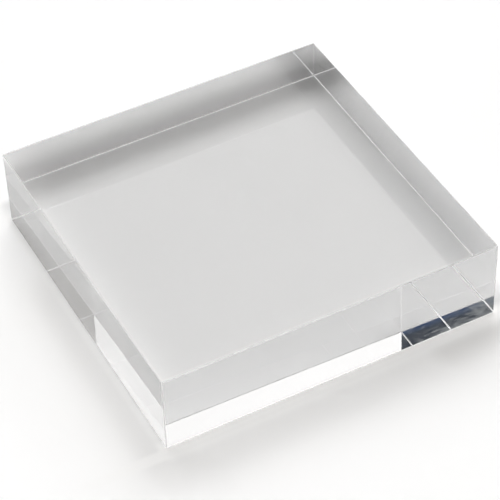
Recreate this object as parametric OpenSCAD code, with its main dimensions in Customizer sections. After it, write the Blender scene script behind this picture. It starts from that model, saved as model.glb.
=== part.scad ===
// Clear acrylic display block: a low square plinth for small exhibits.
// It is one piece of cast acrylic sheet, sawn square and polished on all six faces,
// with every edge buffed to a small radius.
// Millimetres, +Z up. The origin is the middle of the underside, and the front face looks to -Y.

/* [Block] */
// Width across the front, along X
block_w = 101.6; // [20:0.1:305]
// Depth from front to back, along Y
block_d = 101.6; // [20:0.1:305]
// Thickness of the acrylic sheet, along Z
block_h = 25.4; // [6:0.1:102]

/* [Edges] */
// Radius that the buffing wheel leaves on all twelve edges
edge_r = 0.25; // [0.1:0.05:2]

/* [Hidden] */
$fn = 48;

// A w by h rectangle with rounded corners, centred on both axes.
module rounded_outline(w, h) {
    square([w - 2 * edge_r, h], center = true);
    square([w, h - 2 * edge_r], center = true);
    for (x = [-1, 1], y = [-1, 1])
        translate([x * (w / 2 - edge_r), y * (h / 2 - edge_r)])
            circle(r = edge_r);
}

// Plan of the block, which carries the four upright edges.
module plan_prism() {
    linear_extrude(height = block_h)
        rounded_outline(block_w, block_d);
}

// An upright section of the given width, drawn out over the given length along Y.
// It carries the top and bottom edges that run along that length.
module section_prism(width, length) {
    translate([0, 0, block_h / 2])
        rotate([90, 0, 0])
            linear_extrude(height = length, center = true)
                rounded_outline(width, block_h);
}

// The block: the plan and the two upright sections in common.
// The three round edges that meet at a corner run together in one point.
module block() {
    color([0.93, 0.95, 0.96, 0.35])
        intersection() {
            plan_prism();
            section_prism(block_w, block_d);
            rotate([0, 0, 90]) section_prism(block_d, block_w);
        }
}

block();
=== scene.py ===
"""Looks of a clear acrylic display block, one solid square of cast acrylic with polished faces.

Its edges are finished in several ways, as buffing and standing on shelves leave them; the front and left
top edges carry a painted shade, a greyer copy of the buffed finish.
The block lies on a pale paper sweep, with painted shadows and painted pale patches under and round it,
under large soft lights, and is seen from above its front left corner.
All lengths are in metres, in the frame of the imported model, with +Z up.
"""

import logging
import math
from dataclasses import dataclass
from enum import Enum

import bmesh
import bpy
from mathutils import Matrix, Vector


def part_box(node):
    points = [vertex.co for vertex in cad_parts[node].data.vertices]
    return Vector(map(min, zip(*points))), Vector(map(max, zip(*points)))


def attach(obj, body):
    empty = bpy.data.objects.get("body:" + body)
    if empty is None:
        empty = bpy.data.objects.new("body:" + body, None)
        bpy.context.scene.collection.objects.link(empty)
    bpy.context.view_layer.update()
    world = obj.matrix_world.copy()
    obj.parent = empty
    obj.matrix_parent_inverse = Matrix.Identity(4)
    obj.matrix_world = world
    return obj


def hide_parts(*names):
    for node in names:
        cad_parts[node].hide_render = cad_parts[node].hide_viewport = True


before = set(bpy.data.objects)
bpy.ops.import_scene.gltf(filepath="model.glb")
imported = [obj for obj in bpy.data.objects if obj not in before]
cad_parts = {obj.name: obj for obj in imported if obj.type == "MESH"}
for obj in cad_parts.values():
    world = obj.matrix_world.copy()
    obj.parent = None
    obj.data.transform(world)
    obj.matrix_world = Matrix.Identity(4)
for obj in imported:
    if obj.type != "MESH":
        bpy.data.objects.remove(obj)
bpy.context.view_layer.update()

LOG = logging.getLogger("acrylic_block")
BLOCK_NODE = "block"
BODY = "root"
RUBBED_MASK = "rubbed"
FLAT = 0.9999
ROUND_PROFILE = 0.5
MM_PER_M = 1000.0
TRAPPED_BOUNCES = 200
PAPER_BOUNCES = 4
CAMERA_HEADING = 26.67

Colour = tuple[float, float, float]
Place = tuple[float, float, float]
Pair = tuple[float, float]
Socket = bpy.types.NodeSocket
Inputs = dict[str | int, object]

FAR_PAPER: Colour = (0.88, 0.88, 0.875)


def rise_of(angle: float) -> float:
    """Returns how far a direction at this angle above the floor rises, as a share of its length."""
    return math.sin(math.radians(angle))


class Finish(Enum):
    """How a stretch of the block's skin was finished, in the order of its material slots."""

    POLISHED = 0
    BUFFED = 1
    # The next finish is the buffed one in a greyer colour, a painted shade.
    SHADED_BUFFED = 2
    SCUFFED = 3


class Graph:
    """A node tree with short calls for adding nodes and joining them."""

    def __init__(self, tree: bpy.types.NodeTree) -> None:
        """Starts from an empty tree.

        Args:
            tree: The node tree of a material or a world.
        """
        self.tree = tree
        tree.nodes.clear()

    def set(self, socket: Socket, value: object) -> None:
        """Joins a socket to another one, or sets it to a plain value.

        Args:
            socket: The input to fill.
            value: An output socket, a number, a vector or a colour.
        """
        if isinstance(value, Socket):
            self.tree.links.new(value, socket)
        elif socket.type == "RGBA" and len(value) == 3:
            socket.default_value = (*value, 1.0)
        else:
            socket.default_value = value

    def add(self, kind: str, inputs: Inputs | None = None, **settings: object) -> bpy.types.Node:
        """Adds one node.

        Args:
            kind: The node's type name.
            inputs: What goes into its sockets, by socket name or number.
            **settings: Its properties, such as operation.

        Returns:
            The new node.
        """
        node = self.tree.nodes.new(kind)
        for name, value in settings.items():
            setattr(node, name, value)
        for key, value in (inputs or {}).items():
            self.set(node.inputs[key], value)
        return node

    def math(self, operation: str, *values: object) -> Socket:
        """Adds a Math node and returns its result."""
        node = self.add("ShaderNodeMath", dict(enumerate(values)), operation=operation)
        return node.outputs[0]

    def vector(self, operation: str, *values: object) -> bpy.types.Node:
        """Adds a Vector Math node and returns it."""
        return self.add("ShaderNodeVectorMath", dict(enumerate(values)), operation=operation)

    def step(self, value: Socket, low: float, high: float) -> Socket:
        """Adds a smooth step from 0 at low to 1 at high.

        Args:
            value: The number that rises.
            low: Where the step starts.
            high: Where the step ends; below low, the step falls instead.

        Returns:
            The step as a socket.
        """
        if low < high:
            ends = {"From Min": low, "From Max": high, "To Min": 0.0, "To Max": 1.0}
        else:
            ends = {"From Min": high, "From Max": low, "To Min": 1.0, "To Max": 0.0}
        node = self.add("ShaderNodeMapRange", {"Value": value, **ends}, interpolation_type="SMOOTHSTEP")
        return node.outputs["Result"]

    def blend(self, factor: Socket, low: Colour | Socket, high: Colour | Socket) -> Socket:
        """Adds a colour that goes from low to high as the factor goes from 0 to 1.

        Args:
            factor: The share of the high colour.
            low: The colour where the factor is 0.
            high: The colour where the factor is 1.

        Returns:
            The blended colour.
        """
        node = self.add("ShaderNodeMix", {"Factor": factor}, data_type="RGBA")
        colours = [socket for socket in node.inputs if socket.type == "RGBA"]
        self.set(colours[0], low)
        self.set(colours[1], high)
        return next(socket for socket in node.outputs if socket.type == "RGBA")

    def dim(self, light: Socket, share: Socket) -> Socket:
        """Takes a share of the light away.

        Args:
            light: The light so far.
            share: The share that goes.

        Returns:
            The light that is left.
        """
        left = self.vector("SCALE", light)
        self.set(left.inputs["Scale"], self.math("SUBTRACT", 1.0, share))
        return left.outputs[0]

    def product(self, *factors: object) -> Socket:
        """Multiplies several numbers.

        Args:
            *factors: Sockets or plain numbers, at least two.

        Returns:
            Their product.
        """
        result = factors[0]
        for factor in factors[1:]:
            result = self.math("MULTIPLY", result, factor)
        return result

    def noise(self, place: Socket, scale: float, detail: float, roughness: float = 0.5) -> Socket:
        """Adds a noise texture.

        Args:
            place: Where the noise is read.
            scale: How many bumps there are to a unit of length.
            detail: How many finer layers lie over them.
            roughness: The strength of each finer layer against the one before it.

        Returns:
            The noise.
        """
        inputs = {"Vector": place, "Scale": scale, "Detail": detail, "Roughness": roughness}
        return self.add("ShaderNodeTexNoise", inputs).outputs[0]


@dataclass(frozen=True)
class ClearAcrylic:
    """Cast acrylic, clear right through, faintly wavy, with thin hand smudges and a few specks of dust."""

    name: str
    transmission: float = 1.0
    polish: float = 0.0
    ior: float = 1.491
    colour: Colour = (1.0, 1.0, 1.0)
    smudge: float = 0.012
    smudge_scale: float = 28.0
    smudge_detail: float = 4.0
    smudge_roughness: float = 0.6
    smudge_start: float = 0.5
    smudge_full: float = 0.75
    speck: float = 0.5
    speck_spacing: float = 0.011
    speck_radius: float = 0.00012
    speck_share: float = 0.25
    wave_height: float = 0.0000005
    wave_scale: float = 70.0
    rub_height: float = 0.000002
    rub_scale: float = 4000.0
    fine_detail: float = 1.0

    def material(self) -> bpy.types.Material:
        """Makes the material, which reads the rubbed mask of the mesh that wears it.

        Returns:
            The material.
        """
        made = bpy.data.materials.new(self.name)
        made.use_nodes = True
        graph = Graph(made.node_tree)
        place = graph.add("ShaderNodeTexCoord").outputs["Object"]
        skin = graph.add(
            "ShaderNodeBsdfPrincipled",
            {
                "Base Color": self.colour,
                "Roughness": self.roughness(graph, place),
                "IOR": self.ior,
                "Normal": self.relief(graph, place),
                "Transmission Weight": self.transmission,
            },
        )
        graph.add("ShaderNodeOutputMaterial", {"Surface": skin.outputs[0]})
        return made

    def roughness(self, graph: Graph, place: Socket) -> Socket:
        """Adds up the polish, the smudges and the specks.

        Args:
            graph: The material's nodes.
            place: The place on the block.

        Returns:
            The roughness.
        """
        film = graph.noise(place, self.smudge_scale, self.smudge_detail, self.smudge_roughness)
        smudges = graph.step(film, self.smudge_start, self.smudge_full)
        hazy = graph.math("MULTIPLY_ADD", smudges, self.smudge, self.polish)
        cells = graph.add("ShaderNodeTexVoronoi", {"Vector": place, "Scale": 1 / self.speck_spacing})
        small = graph.math("LESS_THAN", cells.outputs["Distance"], self.speck_radius / self.speck_spacing)
        pick = graph.add("ShaderNodeSeparateColor", {"Color": cells.outputs["Color"]}).outputs["Red"]
        few = graph.math("LESS_THAN", pick, self.speck_share)
        return graph.math("MAXIMUM", hazy, graph.product(small, few, self.speck))

    def relief(self, graph: Graph, place: Socket) -> Socket:
        """Bends the surface by the faint waves of cast sheet, and by rubbing marks along the edges.

        Args:
            graph: The material's nodes.
            place: The place on the block.

        Returns:
            The bent normal.
        """
        mask = graph.add("ShaderNodeAttribute", attribute_name=RUBBED_MASK).outputs["Fac"]
        waves = graph.noise(place, self.wave_scale, self.fine_detail)
        marks = graph.noise(place, self.rub_scale, self.fine_detail)
        height = graph.math("MULTIPLY", waves, self.wave_height)
        rubbed = graph.product(marks, mask, self.rub_height)
        bump = graph.add("ShaderNodeBump", {"Distance": 1.0, "Height": graph.math("ADD", height, rubbed)})
        return bump.outputs[0]


@dataclass
class AcrylicBlock:
    """The block itself, a square of thick sheet with every edge rounded to a small radius."""

    low: Vector
    high: Vector
    radius: float
    segments: int = 6
    finishes: tuple[ClearAcrylic, ...] = (
        ClearAcrylic("polished_acrylic"),
        ClearAcrylic("buffed_acrylic", transmission=0.5, polish=0.1),
        # The buffed finish in a greyer colour: a painted shade that dims the line the front and left top
        # edges show.
        ClearAcrylic("shaded_buffed_acrylic", transmission=0.5, polish=0.1, colour=(0.86, 0.86, 0.86)),
        ClearAcrylic("scuffed_acrylic", transmission=0.1, polish=0.3, colour=(0.87, 0.87, 0.87)),
    )

    @classmethod
    def from_frame(cls) -> "AcrylicBlock":
        """Takes the block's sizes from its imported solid.

        Returns:
            The block, not built yet.
        """
        low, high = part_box(BLOCK_NODE)
        corners = [v.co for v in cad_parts[BLOCK_NODE].data.vertices]
        level = low.z + (high.z - low.z) * FLAT
        flat_half = max(c.x for c in corners if c.z > level)
        return cls(low, high, high.x - flat_half)

    def build(self) -> bpy.types.Object:
        """Makes the block from a plain slab and rounds its edges.

        Returns:
            The block's object.
        """
        mesh = bmesh.new()
        middle = Matrix.Translation((self.high + self.low) / 2)
        extent = Matrix.Diagonal((*(self.high - self.low), 1.0))
        bmesh.ops.create_cube(mesh, size=1.0, matrix=middle @ extent)
        bmesh.ops.bevel(
            mesh,
            geom=list(mesh.edges),
            offset=self.radius,
            offset_type="OFFSET",
            affect="EDGES",
            segments=self.segments,
            profile=ROUND_PROFILE,
        )
        bmesh.ops.recalc_face_normals(mesh, faces=list(mesh.faces))
        self.mark(mesh)
        data = bpy.data.meshes.new("acrylic_block")
        mesh.to_mesh(data)
        mesh.free()
        piece = bpy.data.objects.new("acrylic_block", data)
        bpy.context.scene.collection.objects.link(piece)
        return piece

    def mark(self, mesh: bmesh.types.BMesh) -> None:
        """Sorts the faces into flats and edges, and gives each its finish.

        Args:
            mesh: The rounded block.
        """
        layer = mesh.faces.layers.float.new(RUBBED_MASK)
        mesh.normal_update()
        for face in mesh.faces:
            flat = max(abs(part) for part in face.normal) > FLAT
            face.smooth = not flat
            face[layer] = 0.0 if flat else 1.0
            face.material_index = Finish.POLISHED.value if flat else self.edge_finish(face).value

    def edge_finish(self, face: bmesh.types.BMFace) -> Finish:
        """Tells the finish of an edge from where it lies.

        Round the underside, the front and left edges are buffed and the others scuffed.
        Round the top, the front and left edges get a greyer copy of the buffed finish, a painted shade
        that dims their line, and the others are buffed.
        Of the upright edges, the front left one is buffed and the others are polished.

        Args:
            face: A face of a rounded edge.

        Returns:
            The finish.
        """
        place = face.calc_center_median()
        beside = (place.x - self.low.x, place.y - self.low.y)
        if place.z < self.low.z + self.radius:
            return Finish.BUFFED if min(beside) < self.radius else Finish.SCUFFED
        if place.z > self.high.z - self.radius:
            return Finish.SHADED_BUFFED if min(beside) < self.radius else Finish.BUFFED
        return Finish.BUFFED if max(beside) < self.radius else Finish.POLISHED

    def dress(self, piece: bpy.types.Object) -> None:
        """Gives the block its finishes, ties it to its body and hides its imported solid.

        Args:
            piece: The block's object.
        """
        for finish in self.finishes:
            piece.data.materials.append(finish.material())
        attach(piece, BODY)
        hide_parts(BLOCK_NODE)
        faces = len(piece.data.polygons)
        LOG.info("%s: edge radius %.2f mm, %d faces", piece.name, self.radius * MM_PER_M, faces)


@dataclass(frozen=True)
class PaintedLightAndShade:
    """A rectangle of another tone painted on the paper, mostly painted shade or painted light, that fades
    out round it, in shares of the block's side.
    """

    tone: Colour
    middle: Pair
    half: Pair
    fade: Pair

    def over(self, graph: Graph, share: Socket, paper: Colour | Socket) -> Socket:
        """Lays the painted shade or painted light over the paper.

        Args:
            graph: The paper's nodes.
            share: The place on the paper, in shares of the block's side.
            paper: The tone so far.

        Returns:
            The tone with the painted shade or painted light in it.
        """
        moved = graph.vector("SUBTRACT", share, (*self.middle, 0.0))
        apart = graph.vector("ABSOLUTE", moved.outputs[0])
        outside = graph.vector("SUBTRACT", apart.outputs[0], (*self.half, 0.0))
        clipped = graph.vector("MAXIMUM", outside.outputs[0], (0.0, 0.0, 0.0))
        scaled = graph.vector("DIVIDE", clipped.outputs[0], (*self.fade, 1.0))
        distance = graph.vector("LENGTH", scaled.outputs[0]).outputs["Value"]
        return graph.blend(graph.step(distance, 0.0, 1.0), self.tone, paper)


@dataclass(frozen=True)
class PaperSweep:
    """White paper that the block lies on, with painted shadows and painted pale patches under and round
    the block.
    """

    side: float
    tone: Colour = FAR_PAPER
    air_gap: float = 0.0001
    reach: float = 60.0
    painted_light_and_shade: tuple[PaintedLightAndShade, ...] = (
        # The sheet as a whole, white near the block and greying to the far tone far off, then painted
        # shadows in front of the block and to its left.
        PaintedLightAndShade((1.0, 1.0, 1.0), middle=(0.0, 0.0), half=(9.0, 9.0), fade=(18.0, 18.0)),
        PaintedLightAndShade((0.905, 0.90, 0.892), middle=(-0.09, -0.20), half=(0.41, 0.30), fade=(0.40, 0.40)),
        PaintedLightAndShade((0.80, 0.795, 0.785), middle=(0.40, -0.53), half=(0.08, 0.02), fade=(0.08, 0.10)),
        PaintedLightAndShade((0.85, 0.845, 0.838), middle=(-0.525, -0.20), half=(0.015, 0.28), fade=(0.07, 0.24)),
        # Painted light under the block's front and left rims and just outside them, standing in for light
        # that spills out at its base, then painted shade under the rest of the block.
        PaintedLightAndShade((1.0, 0.995, 0.985), middle=(0.0, 0.0), half=(0.50, 0.50), fade=(0.03, 0.06)),
        PaintedLightAndShade((0.68, 0.68, 0.68), middle=(0.03, 0.05), half=(0.495, 0.51), fade=(0.07, 0.04)),
        # Painted shadow under the back rim and behind the block.
        PaintedLightAndShade((0.64, 0.64, 0.64), middle=(0.03, 0.49), half=(0.41, 0.02), fade=(0.06, 0.07)),
        PaintedLightAndShade((0.595, 0.595, 0.595), middle=(0.09, 0.625), half=(0.485, 0.045), fade=(0.04, 0.07)),
        # Painted shadow under the right rim and to the right of the block.
        PaintedLightAndShade((0.66, 0.66, 0.66), middle=(0.53, 0.17), half=(0.045, 0.30), fade=(0.04, 0.20)),
        PaintedLightAndShade((0.53, 0.53, 0.53), middle=(0.53, 0.23), half=(0.03, 0.11), fade=(0.015, 0.08)),
        PaintedLightAndShade((0.42, 0.42, 0.42), middle=(0.525, -0.12), half=(0.02, 0.08), fade=(0.015, 0.22)),
        PaintedLightAndShade((0.47, 0.47, 0.47), middle=(0.568, 0.20), half=(0.026, 0.12), fade=(0.028, 0.12)),
        PaintedLightAndShade((0.36, 0.36, 0.36), middle=(0.568, -0.12), half=(0.026, 0.09), fade=(0.028, 0.12)),
        PaintedLightAndShade((0.55, 0.55, 0.55), middle=(0.53, 0.45), half=(0.02, 0.06), fade=(0.02, 0.07)),
        # Painted shade under the far corner, and a painted pale strip close to the front face, lighter
        # than the painted shadow round it.
        PaintedLightAndShade((0.57, 0.57, 0.57), middle=(0.465, 0.49), half=(0.015, 0.015), fade=(0.045, 0.045)),
        PaintedLightAndShade((0.93, 0.925, 0.915), middle=(-0.10, -0.515), half=(0.40, 0.01), fade=(0.30, 0.015)),
    )

    def build(self) -> bpy.types.Object:
        """Lays the paper as one large sheet just under the block.

        Returns:
            The sheet's object.
        """
        mesh = bmesh.new()
        place = Matrix.Translation((0.0, 0.0, -self.air_gap))
        bmesh.ops.create_grid(mesh, x_segments=1, y_segments=1, size=self.reach, matrix=place)
        data = bpy.data.meshes.new("paper_sweep")
        mesh.to_mesh(data)
        mesh.free()
        sheet = bpy.data.objects.new("paper_sweep", data)
        bpy.context.scene.collection.objects.link(sheet)
        data.materials.append(self.material())
        LOG.info("%s: %.0f m across", sheet.name, 2 * self.reach)
        return sheet

    def material(self) -> bpy.types.Material:
        """Makes the paper's material, with the painted shadows and pale patches laid one over the other.

        Returns:
            The material.
        """
        made = bpy.data.materials.new("paper")
        made.use_nodes = True
        graph = Graph(made.node_tree)
        place = graph.add("ShaderNodeTexCoord").outputs["Object"]
        share = graph.vector("MULTIPLY", place, (1 / self.side, 1 / self.side, 0.0)).outputs[0]
        tone = self.tone
        for shade in self.painted_light_and_shade:
            tone = shade.over(graph, share, tone)
        paper = graph.add("ShaderNodeBsdfDiffuse", {"Color": tone})
        graph.add("ShaderNodeOutputMaterial", {"Surface": paper.outputs[0]})
        return made


@dataclass(frozen=True)
class Heading:
    """A direction in the studio, as sockets.

    It is split along the camera's heading, to its right and upwards, and by where it meets a level
    plane overhead.
    """

    ahead: Socket
    aside: Socket
    rise: Socket
    along: Socket
    across: Socket
    way: Socket


@dataclass(frozen=True)
class OverheadPatch:
    """A soft-edged rectangle in a level plane overhead, sized in shares of its height above the block."""

    near: float
    far: float
    left: float
    right: float
    soft: float

    def mask(self, graph: Graph, to: Heading) -> Socket:
        """Makes a mask that is 1 inside the rectangle and 0 outside it.

        Args:
            graph: The world's nodes.
            to: The direction of view.

        Returns:
            The mask.
        """
        half = self.soft / 2
        return graph.product(
            graph.step(to.along, self.near - half, self.near + half),
            graph.step(to.along, self.far + half, self.far - half),
            graph.step(to.across, self.left - half, self.left + half),
            graph.step(to.across, self.right + half, self.right - half),
        )


@dataclass(frozen=True)
class LightPanel:
    """A soft light overhead."""

    radiance: float
    patch: OverheadPatch

    def over(self, graph: Graph, light: Socket, to: Heading) -> Socket:
        """Adds the panel's light to the studio's, and returns the sum."""
        glow = graph.math("MULTIPLY", self.patch.mask(graph, to), self.radiance)
        return graph.vector("ADD", light, glow).outputs[0]


@dataclass(frozen=True)
class DarkWindow:
    """A dark window on the left with blurred streaks.

    It is blue at its head, and pale along its sill and at its far end.
    """

    patch: OverheadPatch = OverheadPatch(near=0.35, far=0.60, left=-0.97, right=-0.73, soft=0.08)
    lean: float = 29.5
    dark: Colour = (0.0, 0.010, 0.028)
    dusk: Colour = (0.0, 0.035, 0.120)
    pale: Colour = (0.26, 0.28, 0.29)
    dusk_from: float = 0.8365
    dusk_to: float = 0.8415
    sill: float = 0.8375
    sill_slope: float = 126.0
    sill_from: float = -0.488
    sill_to: float = -0.500
    far_share: float = 0.90
    far_from: float = -0.515
    far_to: float = -0.532
    streak: float = 5.5
    streak_start: float = 0.54
    streak_lengthwise: float = 150.0
    streak_upright: float = 1000.0
    streak_detail: float = 2.0

    def over(self, graph: Graph, light: Socket, to: Heading) -> Socket:
        """Sets the window into the room.

        Args:
            graph: The world's nodes.
            light: The room's light.
            to: The direction of view.

        Returns:
            The light with the window in it.
        """
        turn = math.radians(self.lean)
        sine, cosine = math.sin(turn), math.cos(turn)
        lengthwise = graph.math("MULTIPLY_ADD", to.along, sine, graph.math("MULTIPLY", to.across, cosine))
        upright = graph.math("MULTIPLY_ADD", to.along, cosine, graph.math("MULTIPLY", to.across, -sine))
        paleness = self.paleness(graph, lengthwise, upright)
        tone = graph.math("ADD", paleness, self.streaks(graph, lengthwise, upright))
        clear = graph.math("MINIMUM", graph.math("MAXIMUM", tone, 0.0), 1.0)
        night = graph.blend(graph.step(upright, self.dusk_from, self.dusk_to), self.dark, self.dusk)
        panes = graph.blend(clear, night, self.pale)
        return graph.blend(self.patch.mask(graph, to), light, panes)

    def paleness(self, graph: Graph, lengthwise: Socket, upright: Socket) -> Socket:
        """Makes the window paler towards its sill and its far end.

        Args:
            graph: The world's nodes.
            lengthwise: The place along the window.
            upright: The place up the window.

        Returns:
            The share of the pale tone, before the streaks.
        """
        low = graph.math("MULTIPLY", graph.math("SUBTRACT", self.sill, upright), self.sill_slope)
        reach = graph.step(lengthwise, self.sill_from, self.sill_to)
        sill = graph.math("MULTIPLY", graph.math("MAXIMUM", low, 0.0), reach)
        far = graph.math("MULTIPLY", graph.step(lengthwise, self.far_from, self.far_to), self.far_share)
        return graph.math("MAXIMUM", sill, far)

    def streaks(self, graph: Graph, lengthwise: Socket, upright: Socket) -> Socket:
        """Draws blurred streaks along the window.

        Args:
            graph: The world's nodes.
            lengthwise: The place along the window.
            upright: The place up the window.

        Returns:
            What the streaks add to the share of the pale tone.
        """
        place = graph.add(
            "ShaderNodeCombineXYZ",
            {
                "X": graph.math("MULTIPLY", lengthwise, self.streak_lengthwise),
                "Y": graph.math("MULTIPLY", upright, self.streak_upright),
            },
        )
        noise = graph.noise(place.outputs[0], scale=1.0, detail=self.streak_detail)
        return graph.math("MULTIPLY", graph.math("SUBTRACT", noise, self.streak_start), self.streak)


@dataclass(frozen=True)
class DarkShape:
    """Something round and dark behind the camera, which takes light away there."""

    dim: float = 0.79
    azimuth: float = 222.0
    elevation: float = 35.0
    reach: float = 41.0
    core: float = 0.4
    foot: float = 3.0
    full: float = 10.0

    def over(self, graph: Graph, light: Socket, to: Heading) -> Socket:
        """Takes light away where the shape stands.

        Args:
            graph: The world's nodes.
            light: The room's light.
            to: The direction of view.

        Returns:
            The light that is left.
        """
        turn, tilt = math.radians(self.azimuth), math.radians(self.elevation)
        middle = (math.sin(turn) * math.cos(tilt), math.cos(turn) * math.cos(tilt), math.sin(tilt))
        near = graph.vector("DOT_PRODUCT", to.way, middle).outputs["Value"]
        edge, core = (math.cos(math.radians(self.reach * share)) for share in (1.0, self.core))
        upright = graph.step(to.rise, rise_of(self.foot), rise_of(self.full))
        return graph.dim(light, graph.product(graph.step(near, edge, core), upright, self.dim))


@dataclass(frozen=True)
class DarkDoorway:
    """A tall dark doorway on the left, placed by angles from the camera's heading and from the floor."""

    dim: float = 0.45
    middle: float = -70.0
    half: float = 14.0
    foot: float = 2.0
    top: float = 42.0
    soft: float = 6.0

    def over(self, graph: Graph, light: Socket, to: Heading) -> Socket:
        """Takes light away in the doorway.

        Args:
            graph: The world's nodes.
            light: The room's light.
            to: The direction of view.

        Returns:
            The light that is left.
        """
        turn = graph.math("ARCTAN2", to.aside, to.ahead)
        off = graph.math("ABSOLUTE", graph.math("SUBTRACT", turn, math.radians(self.middle)))
        across = graph.step(off, math.radians(self.half + self.soft), math.radians(self.half))
        above = graph.step(to.rise, rise_of(self.foot), rise_of(self.foot + self.soft))
        below = graph.step(to.rise, rise_of(self.top + self.soft), rise_of(self.top))
        return graph.dim(light, graph.product(across, above, below, self.dim))


@dataclass(frozen=True)
class Studio:
    """The room and its lights, all far enough away to be a world.

    The walls are pale, the room above them is darker, and soft panels hang overhead.
    """

    heading: float = CAMERA_HEADING
    lowest: float = 0.01
    wall: float = 1.31
    wall_aside: float = -0.70
    wall_ahead: float = 0.15
    wall_least: float = 1.10
    wall_top: float = 11.3
    wall_end: float = 48.2
    horizon: Colour = FAR_PAPER
    horizon_top: float = 4.0
    horizon_end: float = 12.0
    left_room: Colour = (0.080, 0.075, 0.070)
    right_room: Colour = (0.43, 0.42, 0.41)
    room_turn: Pair = (-0.3, 0.5)
    window: DarkWindow = DarkWindow()
    doorway: DarkDoorway = DarkDoorway()
    shape_behind: DarkShape = DarkShape()
    stand: DarkShape = DarkShape(dim=0.25, azimuth=161.5, elevation=42.2, reach=1.8)
    panels: tuple[LightPanel, ...] = (
        # The main panel, one that reaches farther ahead, one over the camera and a pale patch behind it.
        LightPanel(3.30, OverheadPatch(near=0.20, far=0.85, left=-0.66, right=0.34, soft=0.045)),
        LightPanel(0.85, OverheadPatch(near=0.40, far=1.30, left=-0.65, right=0.47, soft=0.11)),
        LightPanel(0.52, OverheadPatch(near=-0.40, far=0.20, left=-1.15, right=1.17, soft=0.30)),
        LightPanel(0.38, OverheadPatch(near=-0.98, far=-0.80, left=-0.05, right=0.20, soft=0.05)),
    )

    def build(self) -> None:
        """Makes the world and joins the panels, the walls and the room into its light."""
        world = bpy.data.worlds.new("studio")
        bpy.context.scene.world = world
        world.use_nodes = True
        graph = Graph(world.node_tree)
        to = self.directions(graph)
        light = self.doorway.over(graph, self.room(graph, to), to)
        light = self.shape_behind.over(graph, light, to)
        light = self.stand.over(graph, light, to)
        for panel in self.panels:
            light = panel.over(graph, light, to)
        sky = graph.add("ShaderNodeBackground", {"Color": light, "Strength": 1.0})
        graph.add("ShaderNodeOutputWorld", {"Surface": sky.outputs[0]})
        LOG.info("studio: %d light panels", len(self.panels))

    def directions(self, graph: Graph) -> Heading:
        """Splits the direction of view by the heading.

        Args:
            graph: The world's nodes.

        Returns:
            The direction's parts.
        """
        way = graph.add("ShaderNodeTexCoord").outputs["Generated"]
        turn = math.radians(self.heading)
        ahead = graph.vector("DOT_PRODUCT", way, (math.sin(turn), math.cos(turn), 0.0)).outputs["Value"]
        aside = graph.vector("DOT_PRODUCT", way, (math.cos(turn), -math.sin(turn), 0.0)).outputs["Value"]
        rise = graph.vector("DOT_PRODUCT", way, (0.0, 0.0, 1.0)).outputs["Value"]
        height = graph.math("MAXIMUM", rise, self.lowest)
        along = graph.math("DIVIDE", ahead, height)
        across = graph.math("DIVIDE", aside, height)
        return Heading(ahead, aside, rise, along, across, way)

    def room(self, graph: Graph, to: Heading) -> Socket:
        """Colours the room: pale walls low down, darker above, and darker on the left than on the right.

        Args:
            graph: The world's nodes.
            to: The direction of view.

        Returns:
            The room's light as a colour.
        """
        upper = graph.blend(graph.step(to.aside, *self.room_turn), self.left_room, self.right_room)
        upper = self.window.over(graph, upper, to)
        wall = graph.math("MULTIPLY_ADD", to.aside, self.wall_aside, self.wall)
        wall = graph.math("MULTIPLY_ADD", to.ahead, self.wall_ahead, wall)
        wall = graph.math("MAXIMUM", wall, self.wall_least)
        pale = graph.add("ShaderNodeCombineColor", {"Red": wall, "Green": wall, "Blue": wall}).outputs[0]
        over_horizon = graph.step(to.rise, rise_of(self.horizon_top), rise_of(self.horizon_end))
        pale = graph.blend(over_horizon, self.horizon, pale)
        on_wall = graph.step(to.rise, rise_of(self.wall_end), rise_of(self.wall_top))
        return graph.blend(on_wall, upper, pale)


@dataclass(frozen=True)
class ProductCamera:
    """A long lens above the block's front left corner."""

    target: Place = (0.00376, 0.00478, 0.0)
    azimuth: float = -CAMERA_HEADING
    elevation: float = 43.76
    distance: float = 0.6174
    roll: float = -2.15
    lens: float = 154.8
    sensor: float = 36.0
    nearest: float = 0.01
    farthest: float = 200.0

    def build(self) -> bpy.types.Object:
        """Makes the camera and hands it to the scene.

        Returns:
            The camera's object.
        """
        turn, tilt = math.radians(self.azimuth), math.radians(self.elevation)
        back = Vector((math.sin(turn) * math.cos(tilt), -math.cos(turn) * math.cos(tilt), math.sin(tilt)))
        data = bpy.data.cameras.new("camera")
        data.lens = self.lens
        data.sensor_width = self.sensor
        data.clip_start = self.nearest
        data.clip_end = self.farthest
        camera = bpy.data.objects.new("camera", data)
        bpy.context.scene.collection.objects.link(camera)
        level = back.to_track_quat("Z", "Y").to_matrix().to_4x4()
        lean = Matrix.Rotation(math.radians(self.roll), 4, "Z")
        place = Matrix.Translation(Vector(self.target) + back * self.distance)
        camera.matrix_world = place @ level @ lean
        bpy.context.scene.camera = camera
        LOG.info("camera: %.1f mm at %.3f m", self.lens, self.distance)
        return camera


def set_light_paths(scene: bpy.types.Scene) -> None:
    """Lets light run its full course through clear acrylic, and keeps plain colours in the picture.

    Args:
        scene: The scene to set.
    """
    scene.view_settings.view_transform = "Standard"
    paths = scene.cycles
    paths.max_bounces = TRAPPED_BOUNCES
    paths.transmission_bounces = TRAPPED_BOUNCES
    paths.glossy_bounces = TRAPPED_BOUNCES
    paths.diffuse_bounces = PAPER_BOUNCES
    paths.caustics_reflective = True
    paths.caustics_refractive = True
    paths.blur_glossy = 0.0
    paths.use_denoising = True
    paths.sampling_pattern = "TABULATED_SOBOL"


def main() -> None:
    """Builds the block, the paper, the studio and the camera in order."""
    logging.basicConfig(level=logging.INFO, format="%(name)s: %(message)s")
    block = AcrylicBlock.from_frame()
    block.dress(block.build())
    PaperSweep(block.high.x - block.low.x).build()
    Studio().build()
    ProductCamera().build()
    set_light_paths(bpy.context.scene)


if __name__ == "__main__":
    main()
